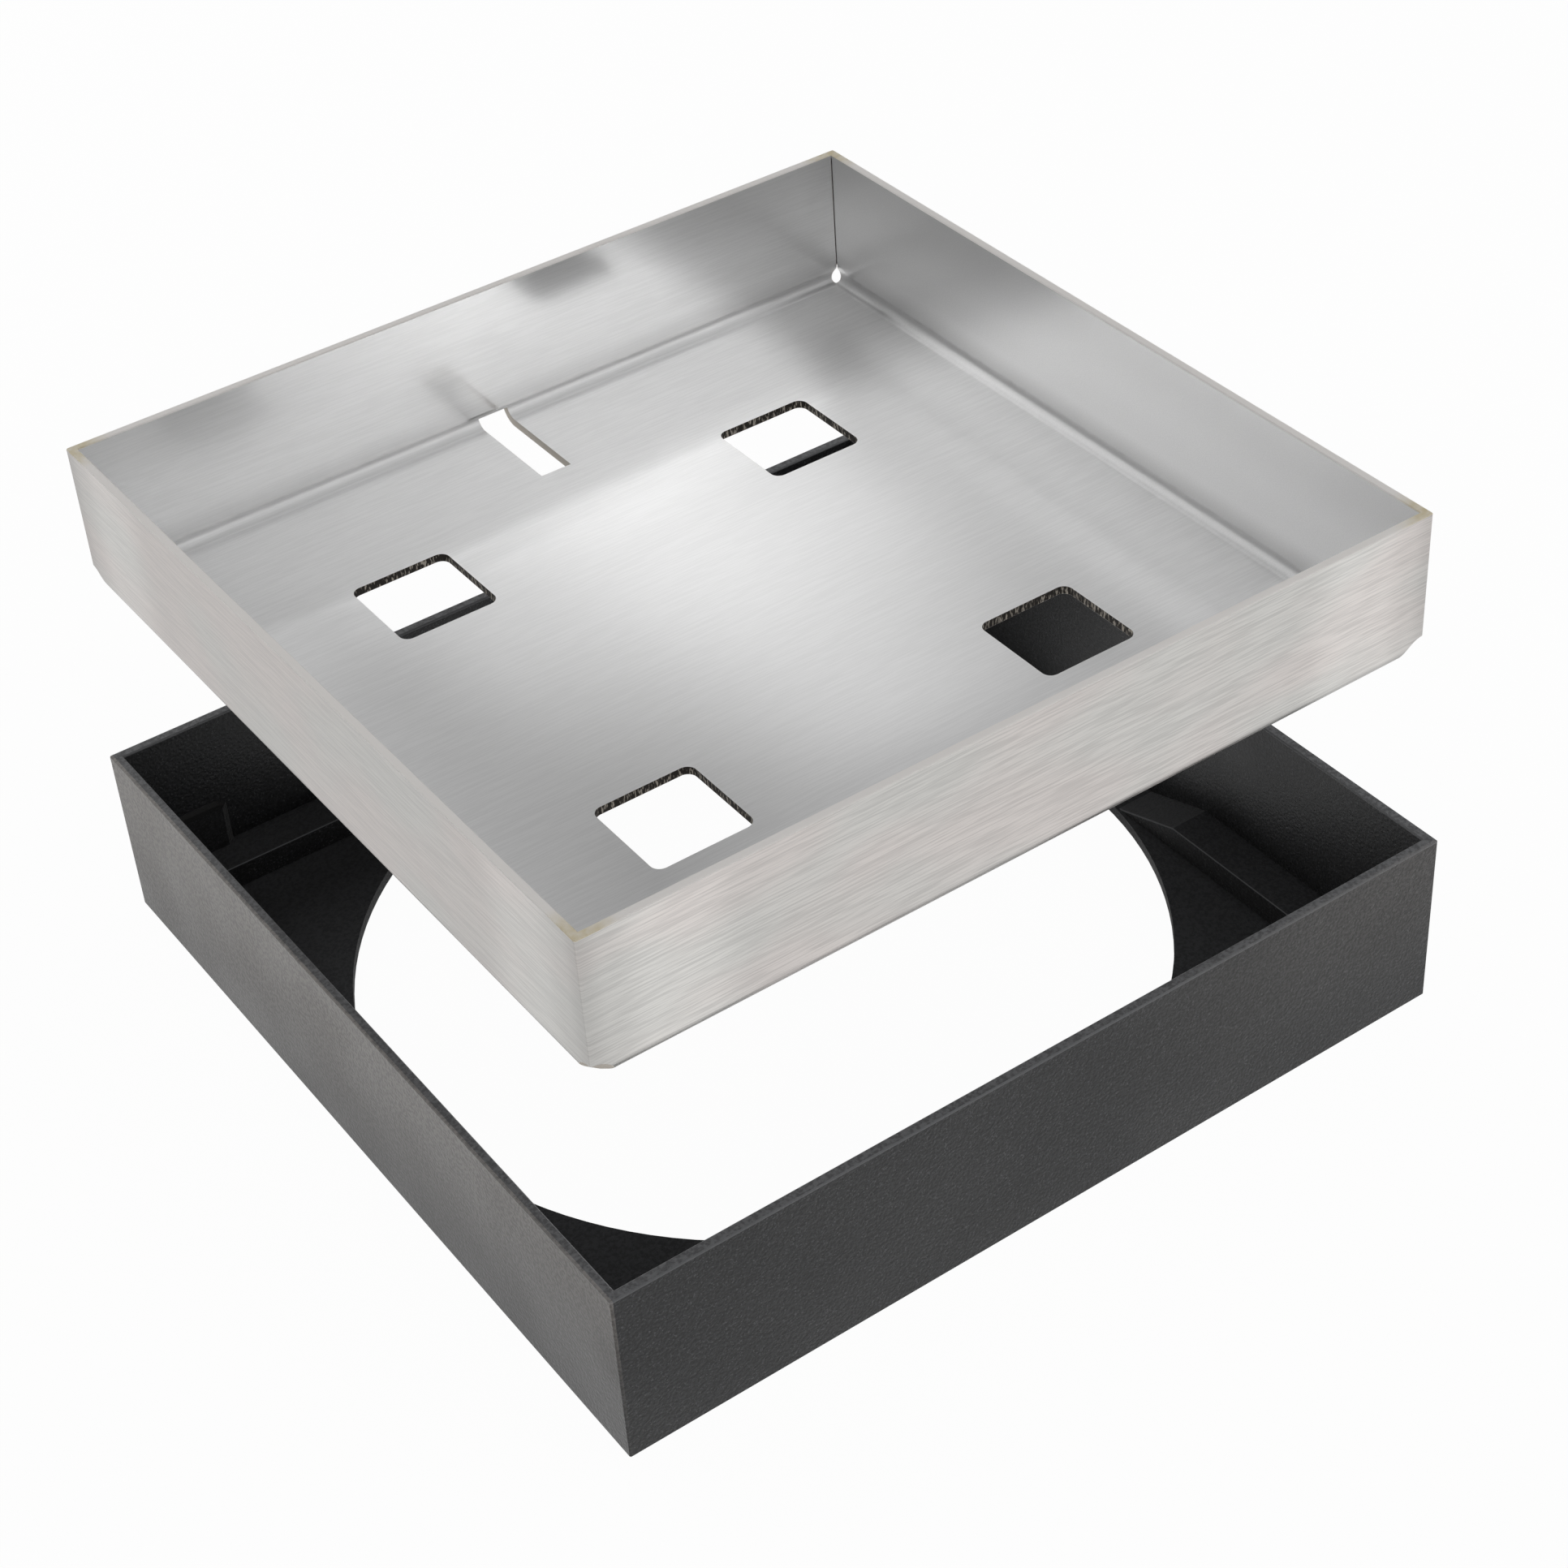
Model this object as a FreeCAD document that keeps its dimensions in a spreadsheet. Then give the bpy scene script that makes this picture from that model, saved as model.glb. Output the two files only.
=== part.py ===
import FreeCAD, Part
import os

import Sketcher

# Access cover: a folded steel tray, shown lifted straight above the moulded frame it drops into.
# Millimetres. X and Y run along the walls and Z is up. The origin is the centre of the frame's
# underside. The tray's key slot is in the middle of its +Y wall.

SIZES = {
    # The tray is one sheet, folded up on four sides and welded at its corners
    "tray_side": 312.0,
    "tray_height": 55.0,
    "sheet_thickness": 3.0,
    "inner_bend_radius": 4.5,
    "weld_radius": 0.8,
    "rim_break": 0.3,
    # A round relief lets the bends meet at each corner, and a seam runs up from it
    "relief_radius": 8.8,
    "seam_width": 0.35,
    "seam_depth": 1.5,
    "seam_end_below_rim": 1.2,
    # Four square holes let water through, and a slot takes the lifting key
    "hole_side": 36.5,
    "hole_corner_radius": 3.5,
    "hole_pitch": 149.0,
    "slot_width": 12.0,
    "slot_length": 45.5,
    "slot_rise": 6.0,
    # The frame is one moulding, larger than the tray by a gap on every side
    "side_clearance": 3.8,
    "frame_wall": 3.7,
    "frame_edge_break": 0.4,
    "plate_thickness": 4.2,
    "opening_margin": 14.4,
    # A ledge on the plate carries the tray, with a ramped gap in the middle of each side
    "ledge_height": 9.8,
    "ledge_width": 15.8,
    "ledge_gap_top": 109.0,
    "ledge_gap_bottom": 49.0,
    "ledge_edge_radius": 0.5,
    # Pads in the corners centre the tray
    "pad_length": 33.8,
    "pad_height": 19.5,
    "pad_clearance": 0.8,
    "pad_top_land": 0.6,
    # The tray's rim stands this far above the frame's rim, or level with it at zero
    "lift_height": 129.6,
}

# Places that follow from the sizes above
TRAY_HALF = "Sizes.tray_side / 2"
TRAY_INNER_HALF = "(Sizes.tray_side / 2 - Sizes.sheet_thickness)"
OUTER_BEND_RADIUS = "Sizes.inner_bend_radius + Sizes.sheet_thickness"
HOLE_NEAR = "(Sizes.hole_pitch - Sizes.hole_side) / 2"
HOLE_FAR = "(Sizes.hole_pitch + Sizes.hole_side) / 2"
SLOT_SIDE = "Sizes.slot_width / 2"
SLOT_END = "Sizes.tray_side / 2 - Sizes.slot_length"
SEAM_SIDE = "Sizes.seam_width / 2"
SEAM_INNER_END = f"sqrt(2) * ({TRAY_INNER_HALF} - Sizes.seam_width)"
SEAM_OUTER_END = f"sqrt(2) * {TRAY_INNER_HALF} + Sizes.seam_depth"
WELL_HALF = "(Sizes.tray_side / 2 + Sizes.side_clearance)"
FRAME_HALF = f"({WELL_HALF} + Sizes.frame_wall)"
LEDGE_FACE = f"({WELL_HALF} - Sizes.ledge_width)"
LEDGE_TOP = "(Sizes.plate_thickness + Sizes.ledge_height)"
FRAME_RIM = f"({LEDGE_TOP} + Sizes.tray_height)"
GAP_TOP_SIDE = "Sizes.ledge_gap_top / 2"
GAP_BOTTOM_SIDE = "Sizes.ledge_gap_bottom / 2"
OPENING_RADIUS = f"({WELL_HALF} - Sizes.opening_margin)"
PAD_THICKNESS = "(Sizes.side_clearance - Sizes.pad_clearance)"
PAD_FACE = f"({WELL_HALF} - {PAD_THICKNESS})"
PAD_END = f"({WELL_HALF} - Sizes.pad_length)"
PAD_TOP = f"({LEDGE_TOP} + Sizes.pad_height)"
TRAY_UNDERSIDE = f"{LEDGE_TOP} + Sizes.lift_height"

SIDES = 4
FULL_TURN = 360
DIAGONAL = 45
TOLERANCE = 1e-4


def add_sizes(doc):
    """Write the driving dimensions into a sheet, each cell named after its size."""
    sheet = doc.addObject("Spreadsheet::Sheet", "Sizes")
    for row, (name, size) in enumerate(SIZES.items(), start=1):
        sheet.set(f"A{row}", name)
        sheet.set(f"B{row}", str(size))
        sheet.setAlias(f"B{row}", name)
    doc.recompute()


def number(item, formula):
    """Return the value of a formula of the sheet's names."""
    return float(item.evalExpression(formula))


def origin_item(body, role):
    """Return one of a body's own origin planes or axes."""
    return next(item for item in body.Origin.OriginFeatures if item.Role == role)


def add_sketch(body, name, plane="XY_Plane", offset=None):
    """Add an empty sketch on an origin plane, moved along the plane's normal by a formula."""
    sketch = body.newObject("Sketcher::SketchObject", name)
    sketch.AttachmentSupport = [(origin_item(body, plane), "")]
    sketch.MapMode = "FlatFace"
    if offset:
        sketch.setExpression("AttachmentOffset.Base.z", offset)
    return sketch


def draw_outline(sketch, corners):
    """Draw a closed outline of straight lines, each corner placed by a pair of formulas."""
    places = [FreeCAD.Vector(number(sketch, x), number(sketch, y), 0) for x, y in corners]
    for start, end in zip(places, places[1:] + places[:1]):
        sketch.addGeometry(Part.LineSegment(start, end), False)
    for line, (place, formulas) in enumerate(zip(places, corners)):
        following = (line + 1) % len(corners)
        sketch.addConstraint(Sketcher.Constraint("Coincident", line, 2, following, 1))
        for kind, distance, formula in zip(("DistanceX", "DistanceY"), place, formulas):
            index = sketch.addConstraint(Sketcher.Constraint(kind, -1, 1, line, 1, distance))
            sketch.setExpression(f"Constraints[{index}]", formula)


def draw_box(sketch, left, right, low, high):
    """Draw a rectangle between four formulas."""
    draw_outline(sketch, [(left, low), (right, low), (right, high), (left, high)])


def draw_centred_square(sketch, half):
    """Draw a square about the sketch's origin."""
    draw_box(sketch, f"-{half}", half, f"-{half}", half)


def extrude(body, kind, name, sketch, length, reverse=False):
    """Pad a sketch along its normal or pocket against it, by a formula, or the other way."""
    feature = body.newObject(f"PartDesign::{kind}", name)
    feature.Profile = sketch
    feature.Reversed = reverse
    feature.setExpression("Length", length)
    sketch.Visibility = False
    body.Document.recompute()
    return feature


def repeat_at_sides(body, name, feature):
    """Repeat a feature at the four sides or corners, a quarter turn apart."""
    pattern = body.newObject("PartDesign::PolarPattern", name)
    pattern.Originals = [feature]
    pattern.Axis = (origin_item(body, "Z_Axis"), [""])
    pattern.Angle = FULL_TURN
    pattern.Occurrences = SIDES
    body.Tip = pattern
    body.Document.recompute()


def dress_edges(body, kind, name, size, is_wanted):
    """Fillet or chamfer the edges of the body's tip that pass a test, to a size's formula."""
    base = body.Tip
    edges = [f"Edge{index}" for index, edge in enumerate(base.Shape.Edges, 1) if is_wanted(edge)]
    feature = body.newObject(f"PartDesign::{kind}", name)
    feature.Base = (base, edges)
    feature.setExpression({"Fillet": "Radius", "Chamfer": "Size"}[kind], size)
    body.Document.recompute()


def is_at_height(edge, height):
    """Say whether all of an edge lies at a height."""
    box = edge.BoundBox
    return abs(box.ZMin - height) < TOLERANCE and abs(box.ZMax - height) < TOLERANCE


def is_upright(edge):
    """Say whether an edge is a vertical line."""
    box = edge.BoundBox
    return box.XLength < TOLERANCE and box.YLength < TOLERANCE


def reach(edge):
    """Return how far an edge's farthest end is from the middle, along X or Y."""
    return max(max(abs(vertex.X), abs(vertex.Y)) for vertex in edge.Vertexes)


def is_on_square(edge, half):
    """Say whether an edge lies in one of the four upright planes of a centred square."""
    box = edge.BoundBox
    spans = ((box.XMin, box.XMax), (box.YMin, box.YMax))
    return any(
        abs(abs(low) - half) < TOLERANCE and abs(high - low) < TOLERANCE for low, high in spans
    )


def fold_tray(body):
    """Shape the sheet: a square base with four walls folded up on round bends."""
    outline = add_sketch(body, "tray_outline")
    draw_centred_square(outline, TRAY_HALF)
    extrude(body, "Pad", "tray_block", outline, "Sizes.tray_height")
    dress_edges(
        body, "Fillet", "outer_bends", OUTER_BEND_RADIUS, lambda edge: is_at_height(edge, 0)
    )

    inside = add_sketch(body, "tray_inside", offset="Sizes.tray_height")
    draw_centred_square(inside, TRAY_INNER_HALF)
    depth = "Sizes.tray_height - Sizes.sheet_thickness"
    extrude(body, "Pocket", "tray_hollow", inside, depth)
    floor = number(body, "Sizes.sheet_thickness")
    dress_edges(
        body,
        "Fillet",
        "inner_bends",
        "Sizes.inner_bend_radius",
        lambda edge: is_at_height(edge, floor),
    )


def cut_corner_reliefs(body):
    """Cut the round relief where two bends and a corner seam meet."""
    relief = body.newObject("PartDesign::SubtractiveSphere", "corner_relief")
    relief.AttachmentSupport = [(origin_item(body, "XY_Plane"), "")]
    relief.MapMode = "FlatFace"
    relief.setExpression("Radius", "Sizes.relief_radius")
    relief.setExpression("AttachmentOffset.Base.x", TRAY_HALF)
    relief.setExpression("AttachmentOffset.Base.y", TRAY_HALF)
    body.Document.recompute()
    repeat_at_sides(body, "corner_reliefs", relief)


def cut_corner_seams(body):
    """Cut the narrow seam left inside each corner, closed at the rim by the weld."""
    seam = add_sketch(body, "seam_outline")
    seam.AttachmentOffset = FreeCAD.Placement(FreeCAD.Vector(), FreeCAD.Rotation(DIAGONAL, 0, 0))
    draw_box(seam, SEAM_INNER_END, SEAM_OUTER_END, f"-{SEAM_SIDE}", SEAM_SIDE)
    height = "Sizes.tray_height - Sizes.seam_end_below_rim"
    slit = extrude(body, "Pocket", "corner_seam", seam, height, reverse=True)
    repeat_at_sides(body, "corner_seams", slit)


def break_tray_edges(body):
    """Round the outer corners, where the welds are ground, then take the burr off the rim."""
    half = number(body, TRAY_HALF)
    rim = number(body, "Sizes.tray_height")
    dress_edges(
        body,
        "Fillet",
        "ground_welds",
        "Sizes.weld_radius",
        lambda edge: is_upright(edge) and abs(reach(edge) - half) < TOLERANCE,
    )
    dress_edges(
        body, "Chamfer", "rim_edges", "Sizes.rim_break", lambda edge: is_at_height(edge, rim)
    )


def cut_square_holes(body):
    """Cut the four square holes with rounded corners through the base."""
    hole = add_sketch(body, "hole_outline")
    draw_box(hole, HOLE_NEAR, HOLE_FAR, HOLE_NEAR, HOLE_FAR)
    cut = extrude(body, "Pocket", "square_hole", hole, "Sizes.sheet_thickness", reverse=True)
    repeat_at_sides(body, "square_holes", cut)
    far_side = number(body, HOLE_FAR)
    dress_edges(
        body,
        "Fillet",
        "hole_corners",
        "Sizes.hole_corner_radius",
        lambda edge: is_upright(edge) and reach(edge) < far_side + TOLERANCE,
    )


def cut_key_slot(body):
    """Cut the slot that runs along the base, round the bend and a little way up the wall."""
    slot = add_sketch(body, "slot_outline")
    draw_box(slot, f"-{SLOT_SIDE}", SLOT_SIDE, SLOT_END, "Sizes.tray_side")
    extrude(body, "Pocket", "key_slot", slot, "Sizes.slot_rise", reverse=True)


def make_tray(doc):
    """Model the tray with its underside at zero, then lift it above the frame."""
    body = doc.addObject("PartDesign::Body", "recess_tray")
    fold_tray(body)
    cut_corner_reliefs(body)
    cut_square_holes(body)
    cut_key_slot(body)
    break_tray_edges(body)
    cut_corner_seams(body)
    body.setExpression("Placement.Base.z", TRAY_UNDERSIDE)
    return body


def mould_box(body):
    """Shape the frame's walls, the plate, and the ledge as a full ring."""
    outline = add_sketch(body, "frame_outline")
    draw_centred_square(outline, FRAME_HALF)
    extrude(body, "Pad", "frame_block", outline, FRAME_RIM)

    well = add_sketch(body, "well_outline", offset=FRAME_RIM)
    draw_centred_square(well, WELL_HALF)
    extrude(body, "Pocket", "well_above_ledge", well, "Sizes.tray_height")

    well_floor = add_sketch(body, "well_floor_outline", offset=LEDGE_TOP)
    draw_centred_square(well_floor, LEDGE_FACE)
    extrude(body, "Pocket", "well_inside_ledge", well_floor, "Sizes.ledge_height")


def break_frame_edges(body):
    """Break the frame's outer edges and both edges of its rim."""
    half = number(body, FRAME_HALF)
    rim = number(body, FRAME_RIM)
    dress_edges(
        body,
        "Chamfer",
        "frame_edges",
        "Sizes.frame_edge_break",
        lambda edge: is_at_height(edge, rim)
        or is_on_square(edge, half) and (is_upright(edge) or is_at_height(edge, 0)),
    )


def cut_ledge_gaps(body):
    """Cut the gap in the middle of each side's ledge, with a ramp at both ends."""
    gap = add_sketch(body, "ledge_gap_outline", plane="XZ_Plane", offset=WELL_HALF)
    draw_outline(
        gap,
        [
            (f"-{GAP_BOTTOM_SIDE}", "Sizes.plate_thickness"),
            (GAP_BOTTOM_SIDE, "Sizes.plate_thickness"),
            (GAP_TOP_SIDE, LEDGE_TOP),
            (f"-{GAP_TOP_SIDE}", LEDGE_TOP),
        ],
    )
    cut = extrude(body, "Pocket", "ledge_gap", gap, "Sizes.ledge_width")
    repeat_at_sides(body, "ledge_gaps", cut)


def round_ledge_edges(body):
    """Round the ledge's front edges, level and sloping."""
    face = number(body, LEDGE_FACE)
    floor = number(body, "Sizes.plate_thickness")
    dress_edges(
        body,
        "Fillet",
        "ledge_edges",
        "Sizes.ledge_edge_radius",
        lambda edge: is_on_square(edge, face)
        and not is_upright(edge)
        and not is_at_height(edge, floor),
    )


def cut_round_opening(body):
    """Cut the round opening through the plate."""
    opening = add_sketch(body, "opening_outline")
    radius = number(body, OPENING_RADIUS)
    circle = Part.Circle(FreeCAD.Vector(), FreeCAD.Vector(0, 0, 1), radius)
    opening.addGeometry(circle, False)
    opening.addConstraint(Sketcher.Constraint("Coincident", 0, 3, -1, 1))
    index = opening.addConstraint(Sketcher.Constraint("Radius", 0, radius))
    opening.setExpression(f"Constraints[{index}]", OPENING_RADIUS)
    extrude(body, "Pocket", "round_opening", opening, LEDGE_TOP, reverse=True)


def add_corner_pads(body):
    """Stand an angled pad on the ledge in each corner, with bevelled ends and a sloped top."""
    pad = add_sketch(body, "pad_outline", offset=LEDGE_TOP)
    bevel = f"({PAD_END} + {PAD_THICKNESS})"
    draw_outline(
        pad,
        [
            (WELL_HALF, WELL_HALF),
            (PAD_END, WELL_HALF),
            (bevel, PAD_FACE),
            (PAD_FACE, PAD_FACE),
            (PAD_FACE, bevel),
            (WELL_HALF, PAD_END),
        ],
    )
    corner_pad = extrude(body, "Pad", "corner_pad", pad, "Sizes.pad_height")
    repeat_at_sides(body, "corner_pads", corner_pad)
    pad_top = number(body, PAD_TOP)
    wall = number(body, WELL_HALF)
    dress_edges(
        body,
        "Chamfer",
        "pad_lead_ins",
        f"{PAD_THICKNESS} - Sizes.pad_top_land",
        lambda edge: is_at_height(edge, pad_top) and not is_on_square(edge, wall),
    )


def make_frame(doc):
    """Model the moulded frame that is set in the ground and carries the tray."""
    body = doc.addObject("PartDesign::Body", "cover_frame")
    mould_box(body)
    break_frame_edges(body)
    cut_ledge_gaps(body)
    round_ledge_edges(body)
    cut_round_opening(body)
    add_corner_pads(body)
    return body


def check_document(doc, bodies):
    """Stop before anything is written if a feature failed or a cut removed nothing."""
    for item in doc.Objects:
        if "Invalid" in item.State or "Error" in item.State:
            raise RuntimeError(f"{item.Label} did not compute: {item.State}")
    for body in bodies:
        solids = [item for item in body.Group if item.isDerivedFrom("PartDesign::Feature")]
        for before, after in zip(solids, solids[1:]):
            if abs(after.Shape.Volume - before.Shape.Volume) < TOLERANCE:
                raise RuntimeError(f"{after.Label} changed nothing")
        if body.Shape.isNull() or not body.Shape.isValid() or len(body.Shape.Solids) != 1:
            raise RuntimeError(f"{body.Label} is not one valid solid")


def main():
    """Build both pieces and write each to its own file."""
    doc = FreeCAD.newDocument("access_cover")
    add_sizes(doc)
    bodies = [make_tray(doc), make_frame(doc)]
    doc.recompute()
    check_document(doc, bodies)
    os.makedirs("parts", exist_ok=True)
    for body in bodies:
        body.Shape.exportStep(f"parts/{body.Label}.step")


main()
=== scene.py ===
import logging
import math
from dataclasses import dataclass, field
from enum import Enum

import bmesh
import bpy
from mathutils import Matrix, Vector

# An access cover: a folded stainless tray with drain holes and a key slot, lifted straight above
# the moulded frame it drops into. Lengths in this file are millimetres unless a name ends in _m.
# The tray's key slot is in the middle of its +Y wall.

log = logging.getLogger("access_cover")

MM = 0.001
IMAGE_SIDE_PX = 1932
SENSOR_MM = 36.0

# Settings that many nodes share: the arithmetic of numbers and vectors, a smooth change from one
# number to another, and what a Mix node mixes
TIMES = {"operation": "MULTIPLY"}
PARTED = {"operation": "DIVIDE"}
PLUS = {"operation": "ADD"}
MINUS = {"operation": "SUBTRACT"}
MOST = {"operation": "MAXIMUM"}
LEAST = {"operation": "MINIMUM"}
ABOVE = {"operation": "GREATER_THAN"}
BELOW = {"operation": "LESS_THAN"}
UNSIGNED = {"operation": "ABSOLUTE"}
SCALED = {"operation": "SCALE"}
DISTANCE = {"operation": "DISTANCE"}
SMOOTH = {"interpolation_type": "SMOOTHSTEP"}
NUMBERS = {"data_type": "FLOAT"}
DIRECTIONS = {"data_type": "VECTOR"}
COLOURS = {"data_type": "RGBA"}

Colour = tuple[float, float, float, float]
Point = tuple[float, float, float]
Range = tuple[float, float]


class Zone(Enum):
    """The differently finished zones of the tray."""

    INSIDE = "inside"
    LEVEL = "level"
    FOLD = "fold"
    RIM = "rim"
    CUT_EDGE = "cut edge"
    GROUND_EDGE = "ground edge"


def linear(hex_colour: str) -> Colour:
    """Turn an sRGB hex colour to linear light.

    Args:
        hex_colour: six hex digits after a hash sign.

    Returns:
        Linear red, green, blue and an alpha of one.
    """
    parts = [int(hex_colour[i:i + 2], 16) / 255 for i in (1, 3, 5)]
    red, green, blue = (c / 12.92 if c <= 0.04045 else ((c + 0.055) / 1.055) ** 2.4 for c in parts)
    return red, green, blue, 1.0


def add_node(
    tree: bpy.types.NodeTree,
    kind: str,
    settings: dict | None = None,
    inputs: dict | tuple = (),
) -> bpy.types.Node:
    """Add one node to a tree, with its settings and links.

    Args:
        tree: the tree of a material or of the world.
        kind: the node's type, without the word that all shader nodes' types start with.
        settings: the node's own properties, by name.
        inputs: the values of the inputs, by name in a dict, or in a tuple that follows the order
            of the inputs in use. An output is linked, and so is a node's first output in use.

    Returns:
        The new node.
    """
    node = tree.nodes.new(f"ShaderNode{kind}")
    for name, value in (settings or {}).items():
        setattr(node, name, value)
    if isinstance(inputs, tuple):
        in_use = [socket for socket in node.inputs if socket.enabled]
        pairs = list(zip(in_use, inputs))
    else:
        pairs = [(node.inputs[name], value) for name, value in inputs.items()]
    for socket, value in pairs:
        if isinstance(value, bpy.types.Node):
            value = next(output for output in value.outputs if output.enabled)
        if isinstance(value, bpy.types.NodeSocket):
            tree.links.new(value, socket)
        else:
            socket.default_value = value
    return node


@dataclass
class SurfaceTree:
    """A material's node tree, with what every pattern starts from.

    The place of each point is in millimetres, spread is its distance from the middle along X or
    Y, whichever is more, and level is one on faces that lie level and nothing on upright ones.
    """

    name: str
    material: bpy.types.Material = field(init=False)
    tree: bpy.types.NodeTree = field(init=False)
    place: bpy.types.Node = field(init=False)
    quarter: bpy.types.Node = field(init=False)
    axes: tuple[bpy.types.NodeSocket, ...] = field(init=False)
    sides: tuple[bpy.types.NodeSocket, ...] = field(init=False)
    facing: tuple[bpy.types.NodeSocket, ...] = field(init=False)
    spread: bpy.types.Node = field(init=False)
    level: bpy.types.Node = field(init=False)

    def __post_init__(self) -> None:
        """Make the material and its first nodes."""
        self.material = bpy.data.materials.new(self.name)
        self.material.use_nodes = True
        tree = self.tree = self.material.node_tree
        tree.nodes.clear()
        coords = add_node(tree, "TexCoord").outputs
        self.place = add_node(tree, "VectorMath", SCALED, (coords["Object"], 1 / MM))
        self.quarter = add_node(tree, "VectorMath", UNSIGNED, (self.place,))
        self.axes = tuple(add_node(tree, "SeparateXYZ", inputs=(self.place,)).outputs)
        self.sides = tuple(add_node(tree, "SeparateXYZ", inputs=(self.quarter,)).outputs)
        self.facing = tuple(add_node(tree, "SeparateXYZ", inputs=(coords["Normal"],)).outputs)
        self.spread = add_node(tree, "Math", MOST, self.sides[:2])
        self.level = add_node(tree, "Math", UNSIGNED, (self.facing[2],))

    def in_box(self, place: bpy.types.Node, centre: Point, half: Point) -> bpy.types.Node:
        """Say which points lie in a box.

        Args:
            place: the coordinates that are read, in millimetres.
            centre: the box's centre.
            half: half of the box's three sides.

        Returns:
            One inside the box and nothing outside.
        """
        moved = add_node(self.tree, "VectorMath", MINUS, (place, centre))
        sized = add_node(self.tree, "VectorMath", PARTED, (moved, half))
        unsigned = add_node(self.tree, "VectorMath", UNSIGNED, (sized,))
        x, y, z = add_node(self.tree, "SeparateXYZ", inputs=(unsigned,)).outputs
        farthest = add_node(self.tree, "Math", MOST, (x, y))
        farthest = add_node(self.tree, "Math", MOST, (farthest, z))
        return add_node(self.tree, "Math", BELOW, (farthest, 1.0))

    def finish(self, shader: bpy.types.Node) -> bpy.types.Material:
        """Link the shader to the output and return the material."""
        add_node(self.tree, "OutputMaterial", inputs={"Surface": shader})
        return self.material


@dataclass(frozen=True)
class TraySizes:
    """The tray's sizes that its finish follows."""

    half_side: float = 156.0
    sheet: float = 3.0
    underside: float = 143.6
    rim: float = 198.6
    hole_half: float = 18.25
    hole_centre: float = 74.5
    slot_half: float = 6.0
    slot_end: float = 110.5
    slot_top: float = 149.6
    relief_radius: float = 8.8
    rim_break: float = 0.3
    fold_height: float = 4.0
    # How far a zone reaches past its faces, how far the inside reaches below its floor, and how
    # far the cut edges stay from the sheet's two faces
    margin: float = 0.05
    floor_margin: float = 0.6
    cut_margin: float = 0.04

    @property
    def floor(self) -> float:
        """Give the height of the recess's floor."""
        return self.underside + self.sheet

    @property
    def recess_half(self) -> float:
        """Give half of the recess's side."""
        return self.half_side - self.sheet


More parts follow.
